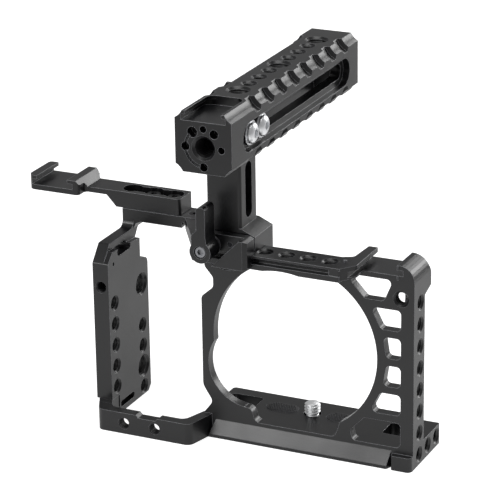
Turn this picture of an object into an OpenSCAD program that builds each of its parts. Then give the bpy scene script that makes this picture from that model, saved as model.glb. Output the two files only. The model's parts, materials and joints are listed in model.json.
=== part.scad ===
/* [Base plate] */
// Thickness of the base plate, underside to deck
base_h = 8.5; // [7.5:0.1:9.5]
// Depth of the base behind the front face of the ring plate
base_d = 28.2; // [28:0.1:34]
// Distance from the lens axis to the left end of the deck and ring plate
base_left = 39.6; // [38.8:0.1:41]
// How far the sloped foot stands out in front of the ring plate
foot_d = 2.7; // [1.5:0.1:4]
// Height of the top of the sloped foot
foot_h = 7; // [5:0.1:7.4]
// Distance of the camera screw behind the front face of the ring plate
screw_y = 17.1; // [15:0.1:18.5]

/* [Ring plate] */
// Thickness of the ring plate
ring_t = 4; // [3:0.1:5]
// Radius of the lens opening
lens_r = 34.5; // [33:0.1:34.8]
// Height of the lens axis over the underside
lens_z = 43.7; // [43:0.1:44]
// Width of the ring band between the lens opening and the truss windows
band_w = 3.8; // [3:0.1:4.6]
// Radius of the cut that clears the lens release button
release_r = 17; // [14:0.5:17.5]

/* [Column and truss] */
// Distance from the lens axis to the outer side of the column
side_x = 49.6; // [49:0.1:54]
// Width of the column across the cage
column_w = 5.4; // [4.5:0.1:6]
// Depth of the column, front to back
column_d = 10.9; // [10.4:0.1:14]
// Distance between neighbouring quarter-inch holes
hole_pitch = 9; // [8.4:0.1:9.1]
// Width of a truss strut
strut_w = 3; // [2:0.1:4]
// Radius of the rounded outer corner over the column
cap_r = 6.5; // [4:0.1:8]
// Depth of the cap over the column
cap_d = 17.2; // [16:0.1:20]

/* [Rail and shoes] */
// Height of the rail top over the lens opening
top_z = 5.4; // [5:0.1:6]
// Width of the rail top, front to back
rail_w = 12.4; // [12:0.1:13]
// Width of a cold shoe channel
shoe_w = 18.6; // [18.2:0.1:19]
// Opening between the two lips of a cold shoe
shoe_gap = 14; // [13:0.1:15]
// Height of a cold shoe channel
shoe_h = 2.3; // [2.1:0.1:2.5]

/* [Grip loop and side plate] */
// Height of the loop round the camera's grip
loop_h = 9; // [8.6:0.1:9.5]
// Distance of the loop's front face in front of the ring plate
loop_d = 13.5; // [11:0.1:18]
// Wall of the loop
loop_t = 4.2; // [3.4:0.1:5]
// Distance from the lens axis to the inner face of the side plate
plate_x = 79.1; // [77:0.1:84]
// Thickness of the side plate
plate_t = 7; // [6.6:0.1:9]
// Width of the side plate, front to back
plate_w = 33.7; // [33:0.1:36]
// Height of the side plate's front edge, up to its chamfer
plate_h = 66.4; // [65:0.1:67]
// Thickness of the bridge bar
bridge_t = 4.8; // [4.6:0.1:5.2]
// Depth of the bridge bar and of the shoe arm
bridge_w = 11.4; // [10.6:0.1:13]

/* [Shoe arm] */
// Height of the arm's block
arm_h = 6.8; // [6:0.1:8]
// Thickness of the arm's thin neck and of the floor of its shoe
arm_neck = 2.2; // [1.8:0.1:3]
// Length of the shoe on the arm
arm_shoe_l = 18.5; // [16:0.1:20]

/* [Handle] */
// Length of the handle grip
grip_l = 120; // [114:1:140]
// Width of the handle grip
grip_w = 23.4; // [23:0.1:26]
// Height of the handle grip
grip_h = 23.9; // [23:0.1:26]
// Width of the hollow along each long edge of the grip, on either face
grip_c = 3; // [2.5:0.1:3.2]
// Distance of the grip's front face in front of the ring plate
grip_front = 25; // [24:0.1:27]
// Height of the grip's underside over the rail top
grip_z = 35; // [34.4:0.1:42.4]
// Width of the post, across the cage
post_w = 14.4; // [13:0.1:14.8]
// Depth of the post, front to back
post_d = 14.8; // [14:0.1:16]
// Distance from the lens axis to the post's centre, at rest
post_x = 25; // [24.4:0.1:25.2]

/* [Clamp] */
// Width of the clamp across the cage
clamp_w = 25; // [24.6:0.1:26]
// Height of the clamp's side over the rail top
clamp_h = 6.2; // [6:0.1:7]
// Wall of the clamp behind the rail
clamp_back = 7.3; // [6:0.1:9]
// Depth of the moving jaw in front of the post
jaw_d = 7.9; // [7.6:0.1:10]
// Length of the lever from its axis to its tip
lever_l = 18; // [14:0.1:20]
// Radius of the lever's round hub
hub_r = 4.4; // [4.2:0.1:4.6]

/* [Hidden] */
$fn = 64;
rail_z = lens_z + lens_r + top_z;

// Overrun of every cut, and the clearances
over = 1;
fit_gap = 0.02;
run_gap = 0.06;
slide_gap = 0.12;
free_gap = 0.3;

// Colours
black_anodised = "#26272a";
black_steel = "#303033";
bright_steel = "#c9cbcd";
rubber_black = "#161617";

// Threads: wall radius of a tapped hole, and radius of its countersunk mouth
quarter_r = 2.6;
quarter_mouth = 3.3;
three_eighths_r = 4;
three_eighths_mouth = 4.9;
m5_r = 2.1;
m5_mouth = 2.5;

// Deck: cut-outs, pads and camera screw
deck_round = 1.5;
left_cut_x = 37;
left_cut_w = 13.4;
left_cut_y = 4;
left_cut_rim = 5.4;
left_cut_back = base_d - left_cut_rim;
right_cut_x = 41;
right_cut_w = 8.8;
right_cut_y = 10.6;
right_cut_back = 20.9;
cut_round = 1.5;
pad_l = 13.6;
pad_w = 8;
pad_x = 13;
pad_sink = 1.2;
pad_proud = 0.5;
stud_r = 3.175;
stud_up = 4.6;
stud_tip = 0.6;
stud_neck_r = 2.5;
stud_start = 0.1;
stud_hole_r = 3.55;
screw_head_r = 7;
screw_head_h = 2;
screw_pocket_r = 8;
screw_pocket_h = 3.4;
driver_w = 1.5;
driver_h = 1;

// Foot in front of the deck
foot_left = 34.3;
foot_lean = 2.3;
foot_right = 40.5;
foot_toe = 1.3;
foot_slant = 1;
chunk_left = 41.2;
chunk_step = 1;
chunk_h = foot_h - chunk_step;
chunk_round = 1;
chunk_outer_round = 2;

// Ring plate
leg_z0 = lens_z - 0.85 * lens_r;
leg_waist = 4.2;
leg_neck = 5.2;
leg_round = 2.5;
release_x = 20;
release_drop = 12.4;
notch_low = 17;
notch_high = 19;
notch_h = 6.5;
notch_round = 2.5;
notch_flare = 3;
notch_rim_z = lens_z - release_drop - release_r;
notch_rim_x = notch_low + (notch_high - notch_low) * (notch_rim_z - base_h) / notch_h;
lens_relief = 0.8;
ring_top_left = 38;
lever_relief_r = 15.2;
lever_relief = 0.8;

// Column, truss and cap
column_in = side_x - column_w;
side_hole_y = 6.4;
side_hole_z = 4.4;
side_holes = 8;
base_holes = 2;
base_hole_l = 9;
strut_z = 20.4;
strut_step = 11.6;
struts = 5;
window_round = 1.8;
top_window_z = strut_z + (struts - 1) * strut_step + strut_w / 2;
cap_z = 68.9;
cap_rise = 2.1;
cap_waist = 1.6;
cap_left = side_x - cap_r - strut_w / 6;
front_hole_z = 70.1;

// Cold shoe on the frame
lip_t = 1.9;
floor_z = rail_z - lip_t - shoe_h;
floor_t = 1.7;
shoe_d = 15.6;
shoe_side = 4.7;
shoe_x = side_x - shoe_side - shoe_w / 2;
shoe_left = shoe_x - shoe_w / 2;
lip_left = shoe_x - shoe_gap / 2;
lip_right = shoe_x + shoe_gap / 2;
wing_t = 2.1;
wing_left = shoe_left - wing_t;
wing_front = 6.2;
wing_slope = 4.4;
wing_d = 14.9;
wing_h = 4.9;
wing_z = rail_z - wing_h;
lip_front = 0.5;

// Rail
rail_back = 0.2;
rail_front = rail_back - rail_w;
rail_edge = 0.9;
groove_in = 2.4;
groove_rise = 1.3;
groove_h = 3.2;
flange_z = rail_z - groove_h;
flange_h = 2.2;
flange_out = 0.3;
rail_left_front = 37;
rail_left_back = 42.6;
rail_holes = 6;
rail_hole_x = 27.1;
rail_hole_y = rail_back - rail_w / 2;
pin_x = 22.9;
pin_y = 3.8;
pin_r = 0.8;
pin_l = 3;
pin_up = 0.5;

// Grip loop
loop_right = 39.4;
loop_round = 3;
loop_in_round = 3.4;
loop_left = 79.6;
boss_x = 5.9;
boss_y = 2.7;
boss_back = 3.5;
boss_h = 8.3;
boss_inset = 0.2;
loop_notch_x0 = 62;
loop_notch_x1 = 54.5;
loop_notch_h = 1.1;
loop_holes = [68.5, 54.9];

// Horn from the ring plate to the bridge
bridge_rise = 0.2;
bridge_top = flange_z + bridge_rise;
bridge_z = bridge_top - bridge_t;
bridge_y = 24;
horn_w = 8;
horn_end = 60.4;
lap_end = 50.4;
lap_top = bridge_z + bridge_t / 2;
bridge_end = 52;
bridge_round = 3.4;
bridge_screw_x = 56.2;
bridge_screw_y = bridge_y + bridge_w / 2;
bridge_screw_r = 1.5;
bridge_head_r = 2.75;
bridge_head_h = 1.4;

// Side plate
plate_out = plate_x + plate_t;
plate_y = -2.6;
plate_back = plate_y + plate_w;
plate_c = 5.7;
plate_top = plate_h + plate_c + plate_c / 6;
neck_step = 2.1;
neck_t = plate_t - neck_step;
neck_in = 6.3;
plate_neck_y = plate_back - neck_in;
ledge_up = 4;
ledge_z = plate_h + ledge_up;
ledge_back_up = 2.2;
ledge_back_z = plate_h + ledge_back_up;
plate_low_c = 2.3;
shoulder_drop = 8;
plate_shoulder_z = plate_h - shoulder_drop;
plate_round = 3;
riser_round = 3;
riser_t = 3.4;
riser_back = bridge_y + riser_t;
web_l = 3.2;
strap_y = 5.4;
strap_l = 11.6;
strap_h = 3.2;
strap_up = 0.7;
strap_z = plate_h + strap_up;
low_slot_y = 5.6;
low_slot_l = 9.4;
low_slot_h = 2.6;
low_slot_z = 3.6;
plate_hole_y = 2.1;
plate_hole_step = 23.1;
plate_hole_z = 3.6;
plate_screw_x = plate_out - plate_t / 2;
plate_front_hole_drop = 9.9;
plate_front_hole_z = plate_h - plate_front_hole_drop;
plate_front_hole_l = 5;
small_hole_r = 0.8;
small_hole_y = 2;
small_hole_drop = 1.2;
small_hole_z = plate_h - small_hole_drop;
foot_screw_r = 1.25;
foot_head_r = 2.2;
foot_head_h = 1.8;
foot_screw_in = 1.8;
foot_screw_y = -0.2;

// Shoe arm
arm_z = bridge_top + slide_gap;
arm_top = arm_z + arm_h;
arm_right = 60.4;
arm_left = 89;
arm_slope = 4.3;
arm_in = 0.3;
arm_y = bridge_y + arm_in;
arm_corner = 1.6;
arm_lip_t = 1.5;
arm_shoe_x = 115;
arm_wall = 1.7;
arm_shoe_over = 1.6;
arm_shoe_y = bridge_y + bridge_w + arm_shoe_over - arm_shoe_l;
arm_shoe_top = arm_top + shoe_h + arm_lip_t;
arm_shoe_end = 2.7;
arm_slant = 1.2;
lobe_x = 65.5;
lobe_pitch = 9.25;
lobes = 3;
lobe_r = 4.1;
lobe_depth = 3.6;
arm_screw_r = 1.5;
arm_head_r = 2.8;
arm_head_h = 2.4;
arm_screw_in = 4;
arm_screws = 2;

// Handle grip
grip_x = -post_x;
grip_y0 = -grip_front;
grip_y1 = grip_y0 + grip_l;
grip_low = rail_z + grip_z;
grip_top = grip_low + grip_h;
grip_side = grip_w / 2;
tongue_w = 8;
cavity_w = tongue_w + 4 * slide_gap;
roof_t = 5.7;
cavity_top = grip_top - roof_t;
grip_nose = 9;
cavity_y0 = grip_y0 + grip_nose;
slot_nose = 10;
slot_y0 = grip_y0 + slot_nose;
slot_tail = 8.5;
slot_y1 = grip_y1 - slot_tail;
slot_h = 11.6;
slot_in_h = 6.4;
slot_step = 2.9;
slot_z = grip_low + 0.47 * grip_h;
grip_hole_start = 31.2;
grip_hole_end = 13;
grip_hole_y = grip_y0 + grip_hole_start;
grip_hole_pitch = 9.25;
grip_holes = floor((grip_l - grip_hole_start - grip_hole_end) / grip_hole_pitch) + 1;
big_every = 4;
edge_r = 6.6;
edge_out = sqrt((pow(edge_r, 2) - pow(grip_c, 2) / 2) / 2) - grip_c / 2;
scoop_depth = 1.65;
scoop_r = edge_r + scoop_depth;
scoop_l = 6.9;
scoop_in = 2.2;
scoop_out = 0.9;
scoop_start = 19.7;
scoop_end = 8;
scoop_pitch = 11.95;
scoops = floor((grip_l - scoop_start - scoop_l - scoop_end) / scoop_pitch) + 1;
palm_start = 39.5;
palm_end = 12;
palm_y0 = grip_y0 + palm_start;
palm_y1 = grip_y1 - palm_end;
top_shoe_l = 21.5;
top_shoe_round = 3.5;
top_shoe_gap = 15;
top_shoe_w = 18.3;
top_lip_t = 1.4;
front_bore_z = grip_low + 0.42 * grip_h;
pin_circle_r = 7.4;
pin_depth = 4;
pin_angles = [127, 90, 53, 0, 180, 270];
pin_radii = [2.1, 1.4, 1.8, 1.4, 1.7, 1.7];
arc_w = 1.1;
arc_depth = 0.8;

// Post
seam = 0.1;
post_in = 3.4;
post_front = rail_front + post_in;
post_back = post_front + post_d;
post_round = 1.2;
head_d = 19.6;
head_back = post_front + head_d;
head_up = 0.8;
head_z = grip_low + head_up;
head_top = cavity_top - free_gap;
post_slot_in = 4.4;
post_slot_y = post_front + post_slot_in;
post_slot_w = 5.8;
post_slot_rise = 11.4;
post_slot_z = rail_z + post_slot_rise;
post_slot_drop = 1.2;
post_slot_up = grip_low - post_slot_drop;
grip_screw_in = 4.6;
grip_screw_y = post_front + grip_screw_in;
grip_screw_step = 9.8;
grip_screws = 2;
grip_screw_r = 2.5;
washer_r = 4.85;
washer_t = 0.9;
cap_head_r = 4.1;
cap_head_h = 2.2;
cap_head_rim = 0.5;
hex_r = 1.75;
hex_h = 1.2;

// Clamp
clamp_x1 = 12;
clamp_x0 = clamp_x1 + clamp_w;
clamp_y1 = rail_back + clamp_back;
clamp_z = rail_z + clamp_h;
shoulder_h = 2.6;
shoulder_z = clamp_z + shoulder_h;
roof_z = rail_z + slide_gap;
claw_z = flange_z + free_gap;
claw_in = 2;
jaw_gap = 0.8;
jaw_back = post_front - jaw_gap;
jaw_front = jaw_back - jaw_d;
jaw_left = 33;
jaw_block_left = 26.4;
jaw_skirt = 1.4;
jaw_block_z = flange_z - jaw_skirt;
jaw_plate_out = 0.4;
jaw_plate_front = rail_front - jaw_plate_out;
jaw_slant = 11.6;
jaw_round = 1.5;
skirt_y = rail_front - flange_out - 2 * slide_gap;
guide_x = 18;
guide_step = 5.6;
guide_up = 3.4;
guide_z = rail_z + guide_up;
guide_r = 1;
guide_in = 3;

// Lever, stud, washer and screw
lever_x = 28.4;
lever_up = 2.6;
lever_z = rail_z + lever_up;
clamp_stud_r = 1.96;
clamp_stud_back = 3.5;
washer2_t = 0.4;
washer2_r = 3.9;
collar_t = 1.6;
collar_r = 3.8;
lever_back = jaw_plate_front - seam - washer2_t - collar_t - seam;
lever_d = 8.2;
lever_front = lever_back - lever_d;
lever_bore_r = 2.5;
lever_bore_h = 5.1;
lever_wall = 1;
stub_r = 2.4;
lever_screw_r = 1.25;
lever_screw_in = 2.6;
lever_head_r = 2.1;
lever_head_h = 1.8;
lever_head_sink = 0.3;
lever_left = 3.6;
lever_low = 3;
lever_arm_left = 1.4;
lever_arm_right = 2.3;
lever_slant_z = 6.3;
lever_slant_h = 2.4;
lever_round = 1.6;
tip_slot_w = 0.9;
tip_slot_h = 1.2;
tip_slot_y = 2.4;

// Corners: an outline is a list of [x, y, radius], and each corner becomes an arc
function turned(v, a) = [v.x * cos(a) - v.y * sin(a), v.x * sin(a) + v.y * cos(a)];
function unit(v) = v / norm(v);
function flat(p) = [p[0], p[1]];
function corner(a, p, b, r, n) =
    let (u = unit(a - p), w = unit(b - p), half = acos(u * w) / 2,
         c = p + unit(u + w) * r / sin(half), s = p + u * r / tan(half) - c,
         e = p + w * r / tan(half) - c, way = sign(s.x * e.y - s.y * e.x))
    [for (i = [0 : n]) c + turned(s, way * (180 - 2 * half) * i / n)];
function rounded(pts, n = 8) =
    let (m = len(pts))
    [for (i = [0 : m - 1])
        each (pts[i][2] > 0
            ? corner(flat(pts[(i + m - 1) % m]), flat(pts[i]), flat(pts[(i + 1) % m]), pts[i][2], n)
            : [flat(pts[i])])];

// An outline in X and Z, swept along Y
module along_y(y0, y1) {
    translate([0, y1, 0]) rotate([90, 0, 0]) linear_extrude(y1 - y0) children();
}

// An outline in Y and Z, swept along X
module along_x(x0, x1) {
    translate([x0, 0, 0]) rotate([90, 0, 90]) linear_extrude(x1 - x0) children();
}

// An outline in X and Y, swept along Z
module along_z(z0, z1) {
    translate([0, 0, z0]) linear_extrude(z1 - z0) children();
}

module rod_x(x0, x1, y, z, r) {
    translate([x0, y, z]) rotate([0, 90, 0]) cylinder(h = x1 - x0, r = r);
}

module rod_y(y0, y1, x, z, r) {
    translate([x, y1, z]) rotate([90, 0, 0]) cylinder(h = y1 - y0, r = r);
}

module rod_z(z0, z1, x, y, r) {
    translate([x, y, z0]) cylinder(h = z1 - z0, r = r);
}

// A slot with round ends, from a to b
module slot(a, b, r) {
    d = b - a;
    translate(a) circle(r);
    translate(b) circle(r);
    translate(a) rotate(atan2(d.y, d.x)) translate([0, -r]) square([norm(d), 2 * r]);
}

// The countersunk mouth of a tapped hole: the hole runs down, and the face is at Z 0
module mouth(r, wide) {
    translate([0, 0, r - wide]) cylinder(h = wide - r, r1 = r, r2 = wide);
    cylinder(h = over, r = wide);
}

module tapped_x(x0, x1, y, z, r, wide) {
    rod_x(x0, x1, y, z, r);
    translate([x1, y, z]) rotate([0, 90, 0]) mouth(r, wide);
}

module tapped_y(y0, y1, x, z, r, wide) {
    rod_y(y0, y1, x, z, r);
    translate([x, y0, z]) rotate([90, 0, 0]) mouth(r, wide);
}

module tapped_z(z0, z1, x, y, r, wide) {
    rod_z(z0, z1, x, y, r);
    translate([x, y, z1]) mouth(r, wide);
}

// Distance of the truss band from the lens axis at a height
function band_x(z) = sqrt(pow(lens_r + band_w, 2) - pow(z - lens_z, 2));

module ring_outline() {
    polygon(rounded([
        [-base_left, 0, 0],
        [side_x, 0, 0],
        [side_x, rail_z - cap_r, 0],
        [side_x - cap_r, floor_z, 0],
        [-ring_top_left, floor_z, 0],
        [-ring_top_left, lens_z + 0.8 * lens_r, leg_round],
        [-base_left + leg_neck, lens_z + 0.68 * lens_r, leg_round],
        [-base_left + leg_neck, lens_z + 0.56 * lens_r, leg_round],
        [-base_left, lens_z + 0.43 * lens_r, leg_round],
        [-base_left, lens_z - 0.66 * lens_r, 2 * leg_round],
        [-base_left + leg_waist, leg_z0, leg_round],
        [-base_left, loop_h, leg_round]]));
}

module truss_window(z0, z1) {
    polygon(rounded([
        [band_x(z0), z0, window_round],
        [column_in, z0, window_round],
        [column_in, z1, window_round],
        [band_x(z1), z1, window_round]]));
}

module top_window() {
    z1 = floor_z - floor_t - 0.25 * floor_t;
    polygon(rounded([
        [band_x(top_window_z), top_window_z, window_round],
        [column_in - 1.3 * column_w, top_window_z, window_round],
        [column_in - 0.6 * column_w, z1, window_round],
        [wing_left + wing_t, z1, window_round],
        [band_x(z1 - wing_t) + wing_t / 2, z1 - wing_t, window_round]]));
}

module low_window() {
    z1 = strut_z - strut_w / 2;
    polygon(rounded([
        [band_x(base_h + 0.4 * (z1 - base_h)) + window_round, base_h, window_round],
        [column_in, base_h, window_round],
        [column_in, z1, window_round],
        [band_x(z1), z1, window_round],
        [band_x(base_h + 0.4 * (z1 - base_h)) + window_round / 2, base_h + 0.4 * (z1 - base_h),
         window_round]]));
}

module ring_shape() {
    difference() {
        ring_outline();
        translate([0, lens_z]) circle(lens_r, $fn = 180);
        translate([-release_x, lens_z - release_drop]) circle(release_r, $fn = 120);
        polygon(rounded([
            [-notch_low, base_h, notch_round],
            [notch_low, base_h, notch_round],
            [notch_high, base_h + notch_h, 0],
            [-notch_rim_x - notch_flare, notch_rim_z + notch_flare, 0],
            [-notch_rim_x - notch_flare, notch_rim_z, 0],
            [-notch_rim_x, notch_rim_z, notch_flare]]));
        for (k = [0 : struts - 2]) {
            truss_window(strut_z + k * strut_step + strut_w / 2,
                         strut_z + (k + 1) * strut_step - strut_w / 2);
        }
        top_window();
        low_window();
    }
}

// The ring plate, with the round relief that the lever's hub swings over
module ring_plate() {
    difference() {
        along_y(0, ring_t) ring_shape();
        rod_y(-over, lever_relief, -lever_x, lever_z, lever_relief_r);
    }
}

module deck() {
    along_z(0, base_h) difference() {
        polygon(rounded([
            [-base_left, 0, 0],
            [side_x, 0, 0],
            [side_x, base_d, deck_round / 3],
            [-base_left, base_d, deck_round]]));
        polygon(rounded([
            [-left_cut_x, left_cut_y, cut_round],
            [left_cut_w - left_cut_x, left_cut_y, cut_round],
            [left_cut_w - left_cut_x, left_cut_back, cut_round],
            [-left_cut_x, left_cut_back, cut_round]]));
        polygon(rounded([
            [right_cut_x - right_cut_w, right_cut_y, cut_round],
            [right_cut_x, right_cut_y, cut_round],
            [right_cut_x, right_cut_back, cut_round],
            [right_cut_x - right_cut_w, right_cut_back, cut_round]]));
    }
}

module foot() {
    intersection() {
        along_x(-foot_left - foot_lean, foot_right) polygon([
            [ring_t / 2, 0], [-foot_d, 0], [-foot_d, foot_toe], [0, foot_h], [ring_t / 2, foot_h]]);
        along_z(0, foot_h) polygon([
            [-foot_left - foot_lean, ring_t], [-foot_left - foot_lean, -foot_d],
            [foot_right - foot_slant, -foot_d], [foot_right, 0], [foot_right, ring_t]]);
        along_y(-foot_d, ring_t) polygon([
            [-foot_left - foot_lean, 0], [foot_right, 0], [foot_right, foot_h],
            [-foot_left, foot_h]]);
    }
    along_z(0, chunk_h) polygon(rounded([
        [chunk_left, ring_t, 0],
        [chunk_left, -foot_d, chunk_round],
        [side_x, -foot_d, chunk_outer_round],
        [side_x, ring_t, 0]]));
}

// The column and its cap, with the notch that leaves the front hole open behind the ring plate
module column() {
    notch_z = front_hole_z + quarter_mouth;
    along_z(0, cap_z + cap_rise) translate([column_in, 0]) square([column_w, column_d]);
    intersection() {
        along_y(0, cap_d) polygon(rounded([
            [column_in, cap_z, 0], [side_x, cap_z, 0], [side_x, rail_z, cap_r], [cap_left, rail_z, 0],
            [cap_left, notch_z, 0], [column_in, notch_z, 0]]));
        along_x(cap_left, side_x) polygon([
            [0, cap_z], [column_d, cap_z], [cap_d, cap_z + cap_rise],
            [cap_d, (cap_z + rail_z) / 2], [cap_d - cap_waist, floor_z],
            [cap_d - cap_waist - lip_t / 3, rail_z], [0, rail_z]]);
    }
}

module rail() {
    intersection() {
        along_x(-rail_left_back, wing_left + wing_t) polygon([
            [rail_front - flange_out, flange_z - flange_h],
            [ring_t, flange_z - flange_h],
            [ring_t, flange_z],
            [rail_back - groove_in, flange_z],
            [rail_back - groove_in, rail_z - rail_edge - groove_rise],
            [rail_back, rail_z - rail_edge],
            [rail_back, rail_z],
            [rail_front, rail_z],
            [rail_front, rail_z - rail_edge],
            [rail_front + groove_in, rail_z - rail_edge - groove_rise],
            [rail_front + groove_in, flange_z],
            [rail_front - flange_out, flange_z]]);
        along_z(flange_z - flange_h, rail_z) polygon([
            [-rail_left_front, rail_front - flange_out],
            [wing_left, rail_front - flange_out],
            [wing_left + wing_t, ring_t],
            [-rail_left_back, ring_t],
            [-rail_left_back, rail_back]]);
    }
}

module shoe_blocks() {
    along_z(wing_z, rail_z) polygon(rounded([
        [wing_left - wing_slope, rail_front, 0],
        [wing_left, rail_front, wing_t],
        [lip_left, -wing_front, wing_t],
        [lip_left, wing_d, 0],
        [wing_left + wing_t / 3, wing_d, wing_t / 4],
        [wing_left, 0.15 * wing_d, wing_t],
        [wing_left - wing_slope, 0, 0]]));
    along_z(floor_z - floor_t, floor_z) polygon([
        [wing_left, 0], [column_in + column_w / 2, 0],
        [column_in + column_w / 2, shoe_d], [wing_left, shoe_d]]);
    along_z(floor_z - floor_t, rail_z) polygon([
        [lip_right, -lip_front], [side_x - cap_r, -lip_front],
        [side_x - cap_r, wing_d], [lip_right, wing_d]]);
}

module loop_strip() {
    polygon(rounded([
        [-base_left + loop_t, ring_t / 2, 0],
        [-loop_right, -loop_d, loop_round],
        [-loop_left, -loop_d, loop_round],
        [-plate_x - boss_x, -boss_y, loop_round / 3],
        [-plate_x - boss_x, boss_back, loop_round / 4],
        [-plate_x - boss_inset, boss_back, loop_round / 4],
        [-plate_x - boss_inset, -boss_y, 0],
        [-loop_left + loop_t, loop_t - loop_d, loop_in_round],
        [-loop_right - loop_t, loop_t - loop_d, loop_in_round],
        [-base_left, ring_t / 2, 0]]));
}

module loop() {
    difference() {
        along_z(0, loop_h) loop_strip();
        along_z(boss_h, loop_h + over) translate([-plate_out - over, -boss_y - loop_t])
            square([loop_h + over, 3 * loop_t]);
        along_y(-loop_d - over, loop_t - loop_d + over) polygon([
            [-loop_notch_x0 - loop_notch_h, loop_h], [-loop_notch_x0, loop_h - loop_notch_h],
            [-loop_notch_x1, loop_h - loop_notch_h], [loop_notch_h - loop_notch_x1, loop_h],
            [loop_notch_h - loop_notch_x1, loop_h + over],
            [-loop_notch_x0 - loop_notch_h, loop_h + over]]);
        for (x = loop_holes) {
            tapped_y(-loop_d, loop_t - loop_d + over, -x, loop_h / 2, m5_r, m5_mouth);
        }
        foot_screw_hole();
    }
}

module foot_screw_hole() {
    rod_z(-over, boss_h + foot_screw_in + fit_gap, -plate_screw_x, foot_screw_y,
          foot_screw_r + fit_gap);
    rod_z(-over, foot_head_h, -plate_screw_x, foot_screw_y, foot_head_r + fit_gap);
}

module horn() {
    difference() {
        along_z(bridge_z, flange_z) polygon([
            [-rail_left_back, 0],
            [horn_w - rail_left_back, 0],
            [horn_w - rail_left_back, ring_t],
            [-lap_end, bridge_y + bridge_w],
            [-horn_end, bridge_y + bridge_w],
            [-horn_end + 0.3 * horn_w, bridge_y]]);
        along_z(lap_top, flange_z + over) bridge_outline(fit_gap);
        rod_z(bridge_z - over, lap_top + over, -bridge_screw_x, bridge_screw_y,
              bridge_screw_r + fit_gap);
    }
}

// The bridge bar from above, grown by a gap
module bridge_outline(gap) {
    polygon(rounded([
        [-plate_out, bridge_y - gap, 0],
        [gap - bridge_end, bridge_y - gap, bridge_round],
        [gap - bridge_end, bridge_y + bridge_w + gap, bridge_round],
        [-plate_out, bridge_y + bridge_w + gap, 0]]));
}

module pad_outline(gap) {
    half = (pad_l - pad_w) / 2;
    slot([-half, 0], [half, 0], pad_w / 2 + gap);
}

module frame_cuts() {
    for (k = [0 : side_holes - 1]) {
        depth = k == 0 ? base_hole_l : column_w + over;
        tapped_x(side_x - depth, side_x, side_hole_y, side_hole_z + k * hole_pitch,
                 quarter_r, quarter_mouth);
    }
    for (k = [1 : base_holes]) {
        tapped_x(side_x - base_hole_l, side_x, side_hole_y + k * hole_pitch, side_hole_z,
                 quarter_r, quarter_mouth);
    }
    for (k = [0 : rail_holes - 1]) {
        tapped_z(flange_z - flange_h - over, rail_z, k * hole_pitch - rail_hole_x, rail_hole_y,
                 quarter_r, quarter_mouth);
    }
    tapped_y(0, ring_t + fit_gap, column_in, front_hole_z, quarter_r, quarter_mouth);
    along_z(floor_z, floor_z + shoe_h) translate([shoe_left, rail_front - over])
        square([shoe_w, rail_w + shoe_d + 2 * over]);
    rod_z(-over, base_h + over, 0, screw_y, stud_hole_r);
    rod_z(-over, screw_pocket_h, 0, screw_y, screw_pocket_r);
    for (side = [-1, 1]) {
        along_z(base_h - pad_sink, base_h + over) translate([side * pad_x, screw_y])
            pad_outline(fit_gap);
    }
    rod_y(rail_front - flange_out - over, 0, 0, lens_z, lens_r + lens_relief);
    rod_z(rail_z - pin_l, rail_z + over, pin_x, -pin_y, pin_r + fit_gap);
}

module cage_frame() {
    color(black_anodised) difference() {
        union() {
            ring_plate();
            deck();
            foot();
            column();
            rail();
            shoe_blocks();
            loop();
            horn();
        }
        frame_cuts();
    }
}

module deck_pad(side) {
    color(rubber_black) along_z(base_h - pad_sink, base_h + pad_proud)
        translate([side * pad_x, screw_y]) pad_outline(0);
}

module deck_pad_left() {
    deck_pad(-1);
}

module deck_pad_right() {
    deck_pad(1);
}

module camera_screw() {
    head_top = screw_pocket_h - slide_gap;
    head_z = head_top - screw_head_h;
    tip = base_h + stud_up;
    color(bright_steel) difference() {
        translate([0, screw_y, 0]) rotate_extrude() polygon([
            [0, head_z], [screw_head_r, head_z], [screw_head_r, head_top],
            [stud_neck_r, head_top], [stud_neck_r, base_h + stud_start],
            [stud_r, base_h + stud_start], [stud_r, tip - stud_tip],
            [stud_r - stud_tip, tip], [0, tip]]);
        along_z(head_z - over, head_z + driver_h) translate([-screw_head_r - over, screw_y - driver_w / 2])
            square([2 * screw_head_r + 2 * over, driver_w]);
    }
}

module rail_stop_pin() {
    color(bright_steel) rod_z(rail_z - pin_l, rail_z + pin_up, pin_x, -pin_y, pin_r);
}

module plate_outline() {
    polygon(rounded([
        [boss_back + run_gap, 0, 0],
        [plate_back - plate_low_c, 0, plate_low_c / 3],
        [plate_back, plate_low_c, plate_low_c / 2],
        [plate_back, plate_shoulder_z, plate_round],
        [plate_neck_y, plate_shoulder_z + plate_round / 2, plate_round / 2],
        [plate_neck_y, ledge_back_z, 0],
        [plate_y + ledge_z - plate_h, ledge_z, 0],
        [plate_y, plate_h, plate_round / 3],
        [plate_y, boss_h, 0],
        [boss_back + run_gap, boss_h, 0]]));
}

module neck_outline() {
    polygon(rounded([
        [plate_y + plate_round / 2, plate_shoulder_z, 0],
        [plate_neck_y - plate_round / 2, plate_shoulder_z, 0],
        [plate_neck_y, ledge_back_z, 0],
        [riser_back, (ledge_back_z + bridge_z) / 2, riser_round],
        [bridge_y + 0.8 * bridge_w, bridge_z, 0],
        [bridge_y + 0.8 * bridge_w, bridge_z + bridge_t / 2, 0],
        [bridge_y, bridge_z + bridge_t / 2, 0],
        [bridge_y, plate_top, riser_round],
        [plate_y + plate_c, plate_top, plate_round / 3],
        [plate_y, plate_h, plate_round / 3],
        [plate_y, plate_shoulder_z + plate_round, 0]]));
}

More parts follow.
